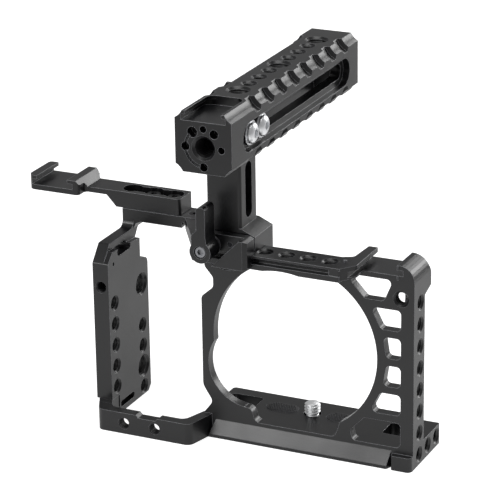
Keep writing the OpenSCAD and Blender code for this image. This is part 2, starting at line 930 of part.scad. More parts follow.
module plate_holes() {
    for (k = [1 : 5]) {
        tapped_x(-plate_out - over, -plate_x, plate_hole_y, plate_hole_z + k * hole_pitch,
                 quarter_r, quarter_mouth);
    }
    for (k = [0, 2, 3]) {
        tapped_x(-plate_out - over, -plate_x, plate_hole_y + plate_hole_step,
                 plate_hole_z + k * hole_pitch, quarter_r, quarter_mouth);
    }
    for (k = [1, 5]) {
        tapped_x(-plate_out - over, -plate_x, plate_hole_y + plate_hole_step,
                 plate_hole_z + k * hole_pitch, three_eighths_r, three_eighths_mouth);
    }
    rod_x(-plate_out - over, -plate_x + over, small_hole_y, small_hole_z, small_hole_r);
    tapped_y(plate_y, plate_y + plate_front_hole_l, -plate_screw_x, plate_front_hole_z,
             m5_r, m5_mouth);
    along_x(-plate_out - over, -plate_x + over) {
        slot([strap_y + strap_h / 2, strap_z + strap_h / 2],
             [strap_y + strap_l - strap_h / 2, strap_z + strap_h / 2], strap_h / 2);
        slot([low_slot_y, low_slot_z], [low_slot_y + low_slot_l, low_slot_z], low_slot_h / 2);
    }
}

module grip_side_plate() {
    color(black_anodised) difference() {
        union() {
            along_x(-plate_out, -plate_x) plate_outline();
            along_x(-plate_out, neck_t - plate_out) neck_outline();
            along_z(bridge_z, bridge_top) bridge_outline(0);
            along_y(bridge_y, bridge_y + 0.8 * bridge_w) polygon([
                [neck_t - plate_out - over, bridge_z + over],
                [neck_t - plate_out - over, bridge_z - web_l],
                [neck_t - plate_out, bridge_z - web_l],
                [neck_t - plate_out + 0.3 * web_l, bridge_z - 0.3 * web_l],
                [neck_t - plate_out + web_l, bridge_z],
                [neck_t - plate_out + web_l, bridge_z + over]]);
        }
        along_z(bridge_z - over, lap_top) horn_lap();
        plate_holes();
        foot_screw_hole();
        bridge_screw_hole();
        for (k = [0 : arm_screws - 1]) {
            rod_z(bridge_z - over, bridge_top + over, -lobe_x - k * lobe_pitch,
                  arm_y + bridge_w / 2, arm_screw_r + fit_gap);
        }
    }
}

// The room that the horn's lug takes under the end of the bridge bar
module horn_lap() {
    polygon([
        [horn_w / 8 - horn_end - fit_gap, bridge_y - over],
        [-bridge_end + over, bridge_y - over],
        [-bridge_end + over, bridge_y + bridge_w + over],
        [-horn_end - fit_gap, bridge_y + bridge_w + over]]);
}

module bridge_screw_hole() {
    rod_z(bridge_z - over, bridge_top + over, -bridge_screw_x, bridge_screw_y,
          bridge_screw_r + fit_gap);
    rod_z(bridge_top - bridge_head_h, bridge_top + over, -bridge_screw_x, bridge_screw_y,
          bridge_head_r + fit_gap);
}

module hex_socket(r) {
    circle(r, $fn = 6);
}

module bridge_screw() {
    color(black_steel) difference() {
        union() {
            rod_z(bridge_z, bridge_top, -bridge_screw_x, bridge_screw_y, bridge_screw_r);
            rod_z(bridge_top - bridge_head_h, bridge_top - fit_gap, -bridge_screw_x, bridge_screw_y,
                  bridge_head_r);
        }
        along_z(bridge_top - 0.8 * bridge_head_h, bridge_top + over)
            translate([-bridge_screw_x, bridge_screw_y]) hex_socket(0.4 * bridge_head_r);
    }
}

module plate_foot_screw() {
    color(black_steel) difference() {
        union() {
            rod_z(fit_gap, boss_h + foot_screw_in, -plate_screw_x, foot_screw_y, foot_screw_r);
            rod_z(fit_gap, foot_head_h, -plate_screw_x, foot_screw_y, foot_head_r);
        }
        along_z(-over, 0.6 * foot_head_h) translate([-plate_screw_x, foot_screw_y])
            hex_socket(0.45 * foot_head_r);
    }
}

module arm_profile() {
    right = arm_shoe_x - shoe_w / 2 - arm_shoe_end;
    left = arm_shoe_x + shoe_w / 2 + arm_wall;
    polygon([
        [-arm_right, arm_z],
        [-arm_right, arm_top],
        [-right + arm_slant, arm_top],
        [-right - arm_slant, arm_shoe_top],
        [-left, arm_shoe_top],
        [-left, arm_top - arm_neck],
        [-arm_left - arm_slope, arm_top - arm_neck],
        [-arm_left, arm_z]]);
}

module arm_plan() {
    left = arm_shoe_x + shoe_w / 2 + arm_wall;
    right = arm_shoe_x - shoe_w / 2 - arm_shoe_end;
    polygon(rounded([
        [-arm_right, arm_y, arm_corner],
        [-arm_right, bridge_y + bridge_w, arm_corner / 2],
        [-right, bridge_y + bridge_w, arm_corner],
        [-right, arm_shoe_y + arm_shoe_l, arm_corner / 2],
        [-left, arm_shoe_y + arm_shoe_l, arm_corner],
        [-left, arm_shoe_y, 2 * arm_corner],
        [-right, arm_shoe_y, arm_corner],
        [-right, arm_y, arm_corner]]));
}

module shoe_arm() {
    mid_y = arm_y + bridge_w / 2;
    last_x = lobe_x + (lobes - 1) * lobe_pitch;
    color(black_anodised) difference() {
        intersection() {
            along_y(arm_shoe_y, arm_shoe_y + arm_shoe_l) arm_profile();
            along_z(arm_z, arm_shoe_top) arm_plan();
        }
        along_z(arm_top, arm_top + shoe_h) translate([-arm_shoe_x - shoe_w / 2, arm_shoe_y - over])
            square([shoe_w, arm_shoe_l + 2 * over]);
        along_z(arm_top, arm_shoe_top + over)
            translate([-arm_shoe_x - shoe_gap / 2, arm_shoe_y - over])
            square([shoe_gap, arm_shoe_l + 2 * over]);
        along_z(arm_top - lobe_depth, arm_top + over) {
            slot([-last_x, mid_y], [-lobe_x, mid_y], arm_head_r + free_gap);
            for (k = [0 : lobes - 1]) {
                translate([-lobe_x - k * lobe_pitch, mid_y]) circle(lobe_r);
            }
        }
        along_z(arm_z - over, arm_top)
            slot([-last_x, mid_y], [-lobe_x, mid_y], arm_screw_r + slide_gap);
    }
}

module shoe_arm_screws() {
    seat = arm_top - lobe_depth + slide_gap;
    color(black_steel) for (k = [0 : arm_screws - 1]) {
        difference() {
            union() {
                rod_z(bridge_top - arm_screw_in, seat, -lobe_x - k * lobe_pitch,
                      arm_y + bridge_w / 2, arm_screw_r);
                rod_z(seat, seat + arm_head_h, -lobe_x - k * lobe_pitch, arm_y + bridge_w / 2,
                      arm_head_r);
            }
            along_z(seat + arm_head_h / 2, seat + arm_head_h + over)
                translate([-lobe_x - k * lobe_pitch, arm_y + bridge_w / 2])
                hex_socket(0.45 * arm_head_r);
        }
    }
}

// A hollow of radius r along one edge of the grip
module edge_hollow(sx, sz, y0, y1, r) {
    rod_y(y0, y1, grip_x + sx * (grip_side + edge_out),
          grip_low + grip_h / 2 + sz * (grip_h / 2 + edge_out), r);
}

// A turned scoop that deepens the hollow for a finger
module scoop(sx, sz, y) {
    translate([grip_x + sx * (grip_side + edge_out), y,
               grip_low + grip_h / 2 + sz * (grip_h / 2 + edge_out)])
        rotate([-90, 0, 0]) rotate_extrude() polygon([
            [0, -scoop_in], [edge_r - scoop_depth, -scoop_in], [scoop_r, scoop_in],
            [scoop_r, scoop_l - scoop_out], [edge_r - scoop_depth, scoop_l + scoop_out],
            [0, scoop_l + scoop_out]]);
}

// The outline of the grip's shoe channel from above
module top_shoe(w) {
    polygon(rounded([
        [grip_x - w / 2, grip_y0 - over, 0],
        [grip_x + w / 2, grip_y0 - over, 0],
        [grip_x + w / 2, grip_y0 + top_shoe_l, top_shoe_round],
        [grip_x - w / 2, grip_y0 + top_shoe_l, top_shoe_round]]));
}

module grip_cuts() {
    translate([grip_x - cavity_w / 2, cavity_y0, grip_low - over])
        cube([cavity_w, slot_y1 - cavity_y0, grip_h - roof_t + over]);
    for (side = [-1, 1]) {
        wall = side < 0 ? grip_x - grip_side - over : grip_x + grip_side - slot_step;
        along_x(wall, wall + slot_step + over)
            slot([slot_y0 + slot_h / 2, slot_z], [slot_y1 - slot_h / 2, slot_z], slot_h / 2);
    }
    along_x(grip_x - grip_side - over, grip_x + grip_side + over)
        slot([slot_y0 + slot_h / 2, slot_z], [slot_y1 - slot_h / 2, slot_z], slot_in_h / 2);
    for (k = [0 : grip_holes - 1]) {
        big = k % big_every == 0;
        tapped_z(cavity_top - over, grip_top, grip_x, grip_hole_y + k * grip_hole_pitch,
                 big ? three_eighths_r : quarter_r, big ? three_eighths_mouth : quarter_mouth);
    }
    for (sz = [-1, 1]) {
        for (k = [0 : scoops - 1]) {
            y = grip_y0 + scoop_start + k * scoop_pitch;
            scoop(1, sz, y);
            if (y < palm_y0) {
                scoop(-1, sz, y);
            }
        }
        edge_hollow(1, sz, grip_y0 - over, grip_y1 + over, edge_r);
        edge_hollow(-1, sz, grip_y0 - over, grip_y1 + over, edge_r);
        edge_hollow(-1, sz, palm_y0, palm_y1, scoop_r);
    }
    along_z(grip_top - top_lip_t - shoe_h, grip_top - top_lip_t) top_shoe(top_shoe_w);
    along_z(grip_top - top_lip_t - shoe_h, grip_top + over) top_shoe(top_shoe_gap);
    tapped_y(grip_y0, cavity_y0 + over, grip_x, front_bore_z, three_eighths_r,
             three_eighths_mouth);
    for (i = [0 : len(pin_angles) - 1]) {
        rod_y(grip_y0 - over, grip_y0 + pin_depth, grip_x + pin_circle_r * cos(pin_angles[i]),
              front_bore_z + pin_circle_r * sin(pin_angles[i]), pin_radii[i]);
    }
    arc_groove();
}

// The shallow groove that joins three of the locating holes
module arc_groove() {
    a0 = pin_angles[0];
    a1 = pin_angles[5];
    steps = 18;
    outer = [for (i = [0 : steps]) let (a = a0 + (a1 - a0) * i / steps)
        (pin_circle_r + arc_w / 2) * [cos(a), sin(a)]];
    inner = [for (i = [steps : -1 : 0]) let (a = a0 + (a1 - a0) * i / steps)
        (pin_circle_r - arc_w / 2) * [cos(a), sin(a)]];
    along_y(grip_y0 - over, grip_y0 + arc_depth) translate([grip_x, front_bore_z])
        polygon(concat(outer, inner));
}

module handle_grip() {
    color(black_anodised) difference() {
        along_y(grip_y0, grip_y1) translate([grip_x - grip_side, grip_low])
            square([grip_w, grip_h]);
        grip_cuts();
    }
}

module clamp_body() {
    intersection() {
        along_y(post_front, clamp_y1) polygon([
            [-clamp_x0, claw_z], [-clamp_x1, claw_z], [-clamp_x1, clamp_z],
            [grip_x + post_w / 2, shoulder_z], [grip_x - post_w / 2, shoulder_z],
            [-clamp_x0, clamp_z]]);
        along_x(-clamp_x0, -clamp_x1) polygon([
            [post_front, roof_z],
            [rail_back + slide_gap, roof_z],
            [rail_back + slide_gap, rail_z - rail_edge - slide_gap],
            [rail_back - claw_in, rail_z - rail_edge - slide_gap - groove_rise * claw_in / groove_in
             - slide_gap / 2],
            [rail_back - claw_in, claw_z],
            [clamp_y1, claw_z],
            [clamp_y1, shoulder_z],
            [post_front, shoulder_z]]);
    }
}

// The outline of the post, or of its tongue, from above
module post_outline(w, back) {
    polygon(rounded([
        [grip_x - w / 2, post_front, post_round],
        [grip_x + w / 2, post_front, post_round],
        [grip_x + w / 2, back, post_round],
        [grip_x - w / 2, back, post_round]]));
}

module handle_post() {
    post_top = grip_low - slide_gap;
    color(black_anodised) difference() {
        union() {
            clamp_body();
            along_z(clamp_z, post_top) post_outline(post_w, post_back);
            along_z(post_top - over, head_top) post_outline(tongue_w, post_back);
            along_z(head_z, head_top) post_outline(tongue_w, head_back);
        }
        along_x(grip_x - post_w, grip_x + post_w) slot(
            [post_slot_y + post_slot_w / 2, post_slot_z + post_slot_w / 2],
            [post_slot_y + post_slot_w / 2, post_slot_up - post_slot_w / 2], post_slot_w / 2);
        for (k = [0 : grip_screws - 1]) {
            rod_x(grip_x + tongue_w / 2 - 2 * grip_screw_r - over, grip_x + tongue_w,
                  grip_screw_y + k * grip_screw_step, slot_z, grip_screw_r + fit_gap);
        }
        rod_y(post_front - over, clamp_stud_back + over, -lever_x, lever_z,
              clamp_stud_r + run_gap);
        for (side = [-1, 1]) {
            rod_y(post_front - over, post_front + guide_in, side * guide_step / 2 - guide_x,
                  guide_z, guide_r + fit_gap);
        }
    }
}

// A button head on the face X 0: a short rim, then a dome up to its flat
module button_head(r, h, rim) {
    steps = 8;
    dome = 60;
    rotate([0, 90, 0]) rotate_extrude() polygon(concat(
        [[0, 0], [r, 0]],
        [for (i = [0 : steps]) let (a = dome * i / steps)
            [r * cos(a), rim + (h - rim) * sin(a) / sin(dome)]],
        [[0, h]]));
}

module grip_screws() {
    seat = grip_x + grip_side - slot_step + slide_gap + washer_t;
    color(bright_steel) for (k = [0 : grip_screws - 1]) {
        y = grip_screw_y + k * grip_screw_step;
        difference() {
            union() {
                rod_x(grip_x + tongue_w / 2 - 2 * grip_screw_r - over + fit_gap, seat + cap_head_rim,
                      y, slot_z, grip_screw_r);
                translate([seat, y, slot_z]) button_head(cap_head_r, cap_head_h, cap_head_rim);
            }
            along_x(seat + cap_head_h - hex_h, seat + cap_head_h + over)
                translate([y, slot_z]) hex_socket(hex_r);
        }
    }
}

module grip_washers() {
    face = grip_x + grip_side - slot_step + slide_gap;
    color(bright_steel) for (k = [0 : grip_screws - 1]) {
        difference() {
            rod_x(face, face + washer_t, grip_screw_y + k * grip_screw_step, slot_z, washer_r);
            rod_x(face - over, face + washer_t + over, grip_screw_y + k * grip_screw_step, slot_z,
                  grip_screw_r + run_gap);
        }
    }
}

// The jaw from the front: block and plate
module jaw_block_outline() {
    polygon([
        [-jaw_block_left, jaw_block_z],
        [-clamp_x1, jaw_block_z],
        [-clamp_x1, clamp_z],
        [-clamp_x1 - jaw_round, clamp_z + jaw_round / 2],
        [-jaw_block_left + jaw_slant, jaw_block_z + jaw_slant]]);
}

module jaw_plate_outline() {
    polygon(rounded([
        [-jaw_left, roof_z, 0],
        [-clamp_x1, roof_z, 0],
        [-clamp_x1, clamp_z, 0],
        [-clamp_x1 - jaw_round, clamp_z + jaw_round / 2, 0],
        [-jaw_left + jaw_round, clamp_z + jaw_round / 2, jaw_round / 2],
        [-jaw_left, clamp_z, jaw_round / 2]]));
}

module clamp_jaw() {
    color(black_anodised) difference() {
        union() {
            along_y(jaw_plate_front, jaw_back) jaw_plate_outline();
            along_y(jaw_front, jaw_back) jaw_block_outline();
        }
        along_x(-clamp_x0, -clamp_x1 + over) polygon([
            [jaw_back + over, roof_z],
            [rail_front - slide_gap, roof_z],
            [rail_front - slide_gap, rail_z - rail_edge - slide_gap],
            [rail_front + claw_in, rail_z - rail_edge - slide_gap - groove_rise * claw_in / groove_in
             - slide_gap / 2],
            [rail_front + claw_in, claw_z],
            [skirt_y, claw_z],
            [skirt_y, jaw_block_z - over],
            [jaw_back + over, jaw_block_z - over]]);
        along_z(jaw_block_z - over, clamp_z + jaw_round) polygon([
            [-clamp_x1 + over, jaw_front - over], [-clamp_x1 + over, jaw_front + jaw_round],
            [-clamp_x1, jaw_front + jaw_round], [-clamp_x1 - jaw_round, jaw_front],
            [-clamp_x1 - jaw_round, jaw_front - over]]);
        rod_y(jaw_front - over, jaw_back + over, -lever_x, lever_z, clamp_stud_r + run_gap);
        for (side = [-1, 1]) {
            rod_y(jaw_back - guide_in - free_gap, jaw_back + over,
                  side * guide_step / 2 - guide_x, guide_z, guide_r + run_gap);
        }
    }
}

module jaw_guide_pins() {
    color(bright_steel) for (side = [-1, 1]) {
        rod_y(jaw_back - guide_in, post_front + guide_in, side * guide_step / 2 - guide_x,
              guide_z, guide_r);
    }
}

module clamp_stud() {
    collar_front = lever_back + seam;
    stub_front = lever_front + lever_bore_h + lever_wall + run_gap;
    color(bright_steel) difference() {
        union() {
            rod_y(collar_front, clamp_stud_back, -lever_x, lever_z, clamp_stud_r);
            rod_y(collar_front, collar_front + collar_t, -lever_x, lever_z, collar_r);
            rod_y(stub_front, collar_front + collar_t / 2, -lever_x, lever_z, stub_r);
        }
        rod_y(stub_front - over, stub_front + lever_screw_in, -lever_x, lever_z,
              lever_screw_r + fit_gap);
    }
}

module thrust_washer() {
    front = lever_back + seam + collar_t;
    color(bright_steel) difference() {
        rod_y(front, front + washer2_t, -lever_x, lever_z, washer2_r);
        rod_y(front - over, front + washer2_t + over, -lever_x, lever_z, clamp_stud_r + run_gap);
    }
}

module lever_outline() {
    circle(hub_r);
    polygon(rounded([
        [-lever_left, -lever_low, 0],
        [hub_r - lever_round, -lever_low, 0],
        [hub_r - lever_round, lever_low, 0],
        [lever_arm_right, lever_slant_z, 0],
        [lever_arm_right, lever_l, lever_round],
        [-lever_arm_left, lever_l, lever_round],
        [-lever_arm_left, lever_slant_z + lever_slant_h, 0],
        [-lever_left, lever_slant_z, 0]]));
}

module clamp_lever() {
    color(black_anodised) difference() {
        along_y(lever_front, lever_back) translate([-lever_x, lever_z]) lever_outline();
        rod_y(lever_front - over, lever_front + lever_bore_h, -lever_x, lever_z, lever_bore_r);
        rod_y(lever_front, lever_back, -lever_x, lever_z, lever_screw_r + run_gap);
        rod_y(lever_front + lever_bore_h + lever_wall, lever_back + over, -lever_x, lever_z,
              stub_r + run_gap);
        translate([-lever_x - lever_arm_left / 2, lever_front + tip_slot_y,
                   lever_z + lever_l - tip_slot_h])
            cube([lever_arm_left + lever_arm_right / 2, tip_slot_w, tip_slot_h + over]);
    }
}

module lever_screw() {
    front = lever_front + lever_head_sink;
    stub_front = lever_front + lever_bore_h + lever_wall + run_gap;
    color(bright_steel) difference() {
        union() {
            rod_y(front, front + lever_head_h, -lever_x, lever_z, lever_head_r);
            rod_y(front + lever_head_h / 2, stub_front + lever_screw_in, -lever_x, lever_z,
                  lever_screw_r);
        }
        along_y(front - over, front + 0.6 * lever_head_h) translate([-lever_x, lever_z])
            hex_socket(0.62 * lever_head_r);
    }
}

cage_frame();
deck_pad_left();
deck_pad_right();
camera_screw();
rail_stop_pin();
grip_side_plate();
plate_foot_screw();
bridge_screw();
shoe_arm();
shoe_arm_screws();
handle_post();
handle_grip();
grip_screws();
grip_washers();
clamp_jaw();
jaw_guide_pins();
clamp_stud();
thrust_washer();
clamp_lever();
lever_screw();
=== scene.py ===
# %% [markdown]
# A camera cage is a frame of machined aluminium round a small camera. This file dresses
# the finished solids: it adds the threads, pads and screw heads that they leave plain, and
# it gives each metal and rubber its own finish. The solids come first, because every new
# piece is placed from their sizes.
# %% Load the solids
import json
import math

import bmesh
import bpy
import numpy as np
from mathutils import Matrix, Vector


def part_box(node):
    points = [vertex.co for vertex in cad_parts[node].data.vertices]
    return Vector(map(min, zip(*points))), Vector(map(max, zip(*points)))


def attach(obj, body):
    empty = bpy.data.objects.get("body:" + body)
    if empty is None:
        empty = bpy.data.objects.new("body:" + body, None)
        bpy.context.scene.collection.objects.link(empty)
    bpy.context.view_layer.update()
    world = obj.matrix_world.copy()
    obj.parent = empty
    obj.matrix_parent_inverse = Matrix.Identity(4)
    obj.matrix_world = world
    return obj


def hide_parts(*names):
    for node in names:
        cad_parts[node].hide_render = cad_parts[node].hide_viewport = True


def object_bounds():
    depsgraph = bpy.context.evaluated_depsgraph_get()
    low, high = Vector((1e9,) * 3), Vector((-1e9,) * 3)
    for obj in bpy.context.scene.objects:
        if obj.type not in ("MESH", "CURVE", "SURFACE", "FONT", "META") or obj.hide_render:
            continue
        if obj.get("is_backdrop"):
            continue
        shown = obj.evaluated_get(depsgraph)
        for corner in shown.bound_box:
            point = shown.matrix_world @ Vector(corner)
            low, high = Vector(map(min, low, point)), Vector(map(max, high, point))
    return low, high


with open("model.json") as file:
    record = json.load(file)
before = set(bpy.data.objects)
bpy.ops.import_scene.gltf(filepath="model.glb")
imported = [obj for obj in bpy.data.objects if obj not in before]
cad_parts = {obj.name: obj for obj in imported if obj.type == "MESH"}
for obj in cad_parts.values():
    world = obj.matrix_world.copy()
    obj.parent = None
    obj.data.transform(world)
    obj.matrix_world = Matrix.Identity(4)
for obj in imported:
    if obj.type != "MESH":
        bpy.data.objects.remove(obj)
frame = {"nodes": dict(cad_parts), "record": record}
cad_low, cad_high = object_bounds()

node_objects = frame["nodes"]
print("solids:", len(node_objects), "box:", [round(v, 4) for v in (*cad_low, *cad_high)])

# %% [markdown]
# The photograph was taken from the front, a little to the right and from above, with a
# long lens. The camera's place was worked out from straight edges and rows of holes, so
# its distance and focal length are numbers, and its three turns are written as angles.
# %% Camera
MM = 0.001
PHOTO_PX, LENS_PX = 500.0, 2600.0
AZIMUTH, ELEVATION, ROLL = 25.263, 20.631, 0.845


def camera_axes(azimuth, elevation, roll):
    """Right, up and forward of a camera that looks along +Y at azimuth 0, as unit rows."""
    a, e, r = np.radians([azimuth, elevation, roll])
    forward = np.array([-np.sin(a) * np.cos(e), np.cos(a) * np.cos(e), -np.sin(e)])
    right = np.array([np.cos(a), np.sin(a), 0.0])
    down = np.cross(forward, right)
    return np.array([np.cos(r) * right + np.sin(r) * down,
                     np.sin(r) * right - np.cos(r) * down, forward])


right, up, forward = camera_axes(AZIMUTH, ELEVATION, ROLL)
target = np.array([0.0, 9.0, 81.0]) * MM
shift_right, shift_down, distance = 20.376 * MM, -0.588 * MM, 998.255 * MM
eye = target - shift_right * right + shift_down * up - distance * forward

camera_data = bpy.data.cameras.new("photo_camera")
camera_data.sensor_width = 36.0
camera_data.lens = LENS_PX / PHOTO_PX * camera_data.sensor_width
camera_data.clip_start, camera_data.clip_end = 0.05, 20.0
camera = bpy.data.objects.new("photo_camera", camera_data)
bpy.context.scene.collection.objects.link(camera)
basis = np.eye(4)
basis[:3, 0], basis[:3, 1], basis[:3, 2], basis[:3, 3] = right, up, -forward, eye
camera.matrix_world = Matrix(basis.tolist())
bpy.context.scene.camera = camera
print("eye at", np.round(eye, 4), "lens", round(camera_data.lens, 1), "mm")

# %% [markdown]
# Colours are written the way a paint chart gives them, as sRGB hex values. Blender's
# shaders work with linear light, so one function turns them over. One more adds a node,
# with its settings and links, which keeps each finish short enough to read.
# %% Helpers for finishes


def srgb(text):
    """Linear red, green, blue and alpha of an sRGB hex colour."""
    c = np.array([int(text[i:i + 2], 16) for i in (0, 2, 4)]) / 255.0
    linear = np.where(c <= 0.04045, c / 12.92, ((c + 0.055) / 1.055) ** 2.4)
    return (*linear.tolist(), 1.0)


def add(tree, kind, inputs=None, **settings):
    """Adds a node; settings are its properties, inputs its values or the sockets it takes."""
    made = tree.nodes.new("ShaderNode" + kind)
    for key, value in settings.items():
        setattr(made, key, value)
    for key, value in (inputs or {}).items():
        if isinstance(value, bpy.types.NodeSocket):
            tree.links.new(value, made.inputs[key])
        else:
            made.inputs[key].default_value = value
    return made


def new_finish(name):
    """A new material, its tree, its surface shader and its Object coordinates in mm."""
    material = bpy.data.materials.new(name)
    material.use_nodes = True
    tree = material.node_tree
    surface = tree.nodes["Principled BSDF"]
    where = add(tree, "TexCoord")
    millimetres = add(tree, "VectorMath", {0: where.outputs["Object"], "Scale": 1000.0},
                      operation="SCALE")
    return material, tree, surface, millimetres.outputs["Vector"]


def ramp(tree, factor, stops):
    """A colour ramp from (position, grey) stops."""
    node = add(tree, "ValToRGB", {"Fac": factor})
    points = node.color_ramp.elements
    while len(points) < len(stops):
        points.new(0.5)
    for point, (position, grey) in zip(points, stops):
        point.position = position
        point.color = (grey, grey, grey, 1.0)
    return node.outputs["Color"]


print("mid grey 808080 as linear light:", np.round(srgb("808080")[0], 3))

# %% [markdown]
# The cage's metal is 6061 aluminium, bead-blasted and then anodised black. The dyed oxide
# skin is a dielectric over the metal, so it absorbs nearly all light and only its gloss is
# seen. Blasting leaves a fine grain of shallow dimples that spreads each highlight into a
# satin sheen. A Bevel node rounds the shading of every edge by a quarter of a millimetre,
# as the tumbling drum does. Where the rounded direction leaves the face's own by more than
# about 10 degrees, the edge gets a painted highlight in light grey. Threads have the same
# skin but a rougher, less rounded finish, a darker colour that is painted shade in the
# holes, and a dimmer painted edge highlight.
# %% Black anodised aluminium


def black_anodised(name, colour, edge_highlight_colour, roughness, edge_radius):
    """Satin black skin; a painted highlight follows the dot product of rounded and true normal.
    """
    material, tree, surface, mm = new_finish(name)
    rounded = add(tree, "Bevel", {"Radius": edge_radius * MM}, samples=8)
    grit = add(tree, "TexNoise", {"Vector": mm, "Scale": 1.9, "Detail": 3.0, "Roughness": 0.7})
    cloud = add(tree, "TexNoise", {"Vector": mm, "Scale": 0.06, "Detail": 2.0})
    bump = add(tree, "Bump", {"Strength": 0.6, "Distance": 0.03 * MM,
                              "Height": grit.outputs["Fac"],
                              "Normal": rounded.outputs["Normal"]})
    facing = add(tree, "NewGeometry")
    turn = add(tree, "VectorMath", {0: rounded.outputs["Normal"],
                                    1: facing.outputs["True Normal"]}, operation="DOT_PRODUCT")
    # Painted highlight: edges turn light grey where the rounded normal leaves the true one.
    edge = ramp(tree, turn.outputs["Value"], [(0.80, 1.0), (0.985, 0.0)])
    speck = ramp(tree, grit.outputs["Fac"], [(0.35, 0.82), (0.65, 1.18)])
    grain = add(tree, "MixRGB", {"Fac": 1.0, "Color1": srgb(colour), "Color2": speck},
                blend_type="MULTIPLY")
    tint = add(tree, "MixRGB", {"Fac": edge, "Color1": grain.outputs["Color"],
                                "Color2": srgb(edge_highlight_colour)})
    dull = add(tree, "MapRange", {"Value": cloud.outputs["Fac"],
                                  "From Min": 0.3, "From Max": 0.7,
                                  "To Min": roughness - 0.03, "To Max": roughness + 0.04})
    tree.links.new(tint.outputs["Color"], surface.inputs["Base Color"])
    tree.links.new(dull.outputs["Result"], surface.inputs["Roughness"])
    tree.links.new(bump.outputs["Normal"], surface.inputs["Normal"])
    return material


# The last colour in each call is the painted edge highlight.
anodised = black_anodised("black_anodised_aluminium", "0b0b0d", "a4a5aa", 0.32, 0.25)
# Painted shade: the thread's darker colour darkens the tapped holes, and its edge colour is a
# dimmer painted highlight.
thread_with_painted_shade = black_anodised("black_anodised_thread", "070708", "5a5b5e", 0.4, 0.08)


def dress(node, material):
    """Gives a solid its finish, in one slot that takes the place of those it came with."""
    mesh = node_objects[node].data
    mesh.materials.clear()
    mesh.materials.append(material)


for name in ("cage_frame", "grip_side_plate", "shoe_arm", "handle_post", "handle_grip",
             "clamp_jaw", "clamp_lever"):
    dress(name, anodised)
print("black finish on seven solids")

# %% [markdown]
# Four steels share one finish, with a colour and a roughness each. The grip's screws and
# washers are bright stainless, and the camera screw is zinc-plated and duller. The clamp's
# stud, washer and screw and the rail's pin are brushed. The other screws and the jaw's
# guide pins are alloy steel with a thin oxide skin. A faint noise in the bump stands for
# the tool's marks.
# %% Steel finishes


def turned_steel(name, colour, roughness):
    """Metal with edges rounded by 0.12 mm in the shading and shallow tool marks."""
    material, tree, surface, mm = new_finish(name)
    rounded = add(tree, "Bevel", {"Radius": 0.12 * MM}, samples=6)
    marks = add(tree, "TexNoise", {"Vector": mm, "Scale": 4.0, "Detail": 2.0})
    bump = add(tree, "Bump", {"Strength": 0.15, "Distance": 0.01 * MM,
                              "Height": marks.outputs["Fac"],
                              "Normal": rounded.outputs["Normal"]})
    tree.links.new(bump.outputs["Normal"], surface.inputs["Normal"])
    surface.inputs["Base Color"].default_value = srgb(colour)
    surface.inputs["Metallic"].default_value = 1.0
    surface.inputs["Roughness"].default_value = roughness
    return material


stainless = turned_steel("bright_stainless_steel", "e4e5e7", 0.36)
oxide = turned_steel("black_oxide_steel", "2b2b2d", 0.38)
brushed = turned_steel("brushed_steel", "8a8b8e", 0.42)
plated = turned_steel("zinc_plated_steel", "f0f1f2", 0.5)
dress("camera_screw", plated)
for name in ("grip_screws", "grip_washers"):
    dress(name, stainless)
for name in ("rail_stop_pin", "clamp_stud", "thrust_washer", "lever_screw"):
    dress(name, brushed)
for name in ("plate_foot_screw", "bridge_screw", "shoe_arm_screws", "jaw_guide_pins"):
    dress(name, oxide)
print("bright steel on two solids, plated on one, brushed on four, black on four")

# %% [markdown]
# The deck pads are moulded rubber, which scatters light and hardly shines. Its skin
# copies the grain of the mould.
# %% Rubber


def moulded_rubber(name, colour):
    """Dull rubber whose colour and bump share one fine noise."""
    material, tree, surface, mm = new_finish(name)
    grain = add(tree, "TexNoise", {"Vector": mm, "Scale": 6.0, "Detail": 4.0})
    bump = add(tree, "Bump", {"Strength": 0.3, "Distance": 0.03 * MM,
                              "Height": grain.outputs["Fac"]})
    shade = ramp(tree, grain.outputs["Fac"], [(0.3, 0.85), (0.7, 1.15)])
    tint = add(tree, "MixRGB", {"Fac": 1.0, "Color1": srgb(colour), "Color2": shade},
               blend_type="MULTIPLY")
    tree.links.new(tint.outputs["Color"], surface.inputs["Base Color"])
    tree.links.new(bump.outputs["Normal"], surface.inputs["Normal"])
    surface.inputs["Roughness"].default_value = 0.62
    return material


rubber = moulded_rubber("moulded_black_rubber", "242426")
for name in ("deck_pad_left", "deck_pad_right"):
    dress(name, rubber)
print("rubber on two solids")

# %% [markdown]
# New pieces are grids of points: row by row along the piece, column by column round it.
# Two helpers serve them all. One lists the quads between the points, the other makes the
# object, merges points that fall together and leaves the object at the origin.
# %% Grids into meshes


def grid_faces(rows, columns, close_rows=False, close_columns=False):
    """Quads of a grid of points; closing joins the last row or column to the first."""
    i, j = np.meshgrid(np.arange(rows if close_rows else rows - 1),
                       np.arange(columns if close_columns else columns - 1), indexing="ij")
    i2, j2 = (i + 1) % rows, (j + 1) % columns
    return np.stack([i * columns + j, i * columns + j2, i2 * columns + j2, i2 * columns + j],
                    axis=-1).reshape(-1, 4)


def mesh_object(name, points, faces, material):
    """A new smooth-shaded object at the origin from arrays of points and quads."""
    mesh = bpy.data.meshes.new(name)
    mesh.from_pydata(np.asarray(points).reshape(-1, 3).tolist(), [], np.asarray(faces).tolist())
    shape = bmesh.new()
    shape.from_mesh(mesh)
    bmesh.ops.remove_doubles(shape, verts=shape.verts, dist=1e-7)
    bmesh.ops.dissolve_degenerate(shape, dist=1e-8, edges=shape.edges)
    shape.to_mesh(mesh)
    shape.free()
    mesh.polygons.foreach_set("use_smooth", np.full(len(mesh.polygons), True))
    mesh.materials.append(material)
    mesh.update()
    made = bpy.data.objects.new(name, mesh)
    bpy.context.scene.collection.objects.link(made)
    return made


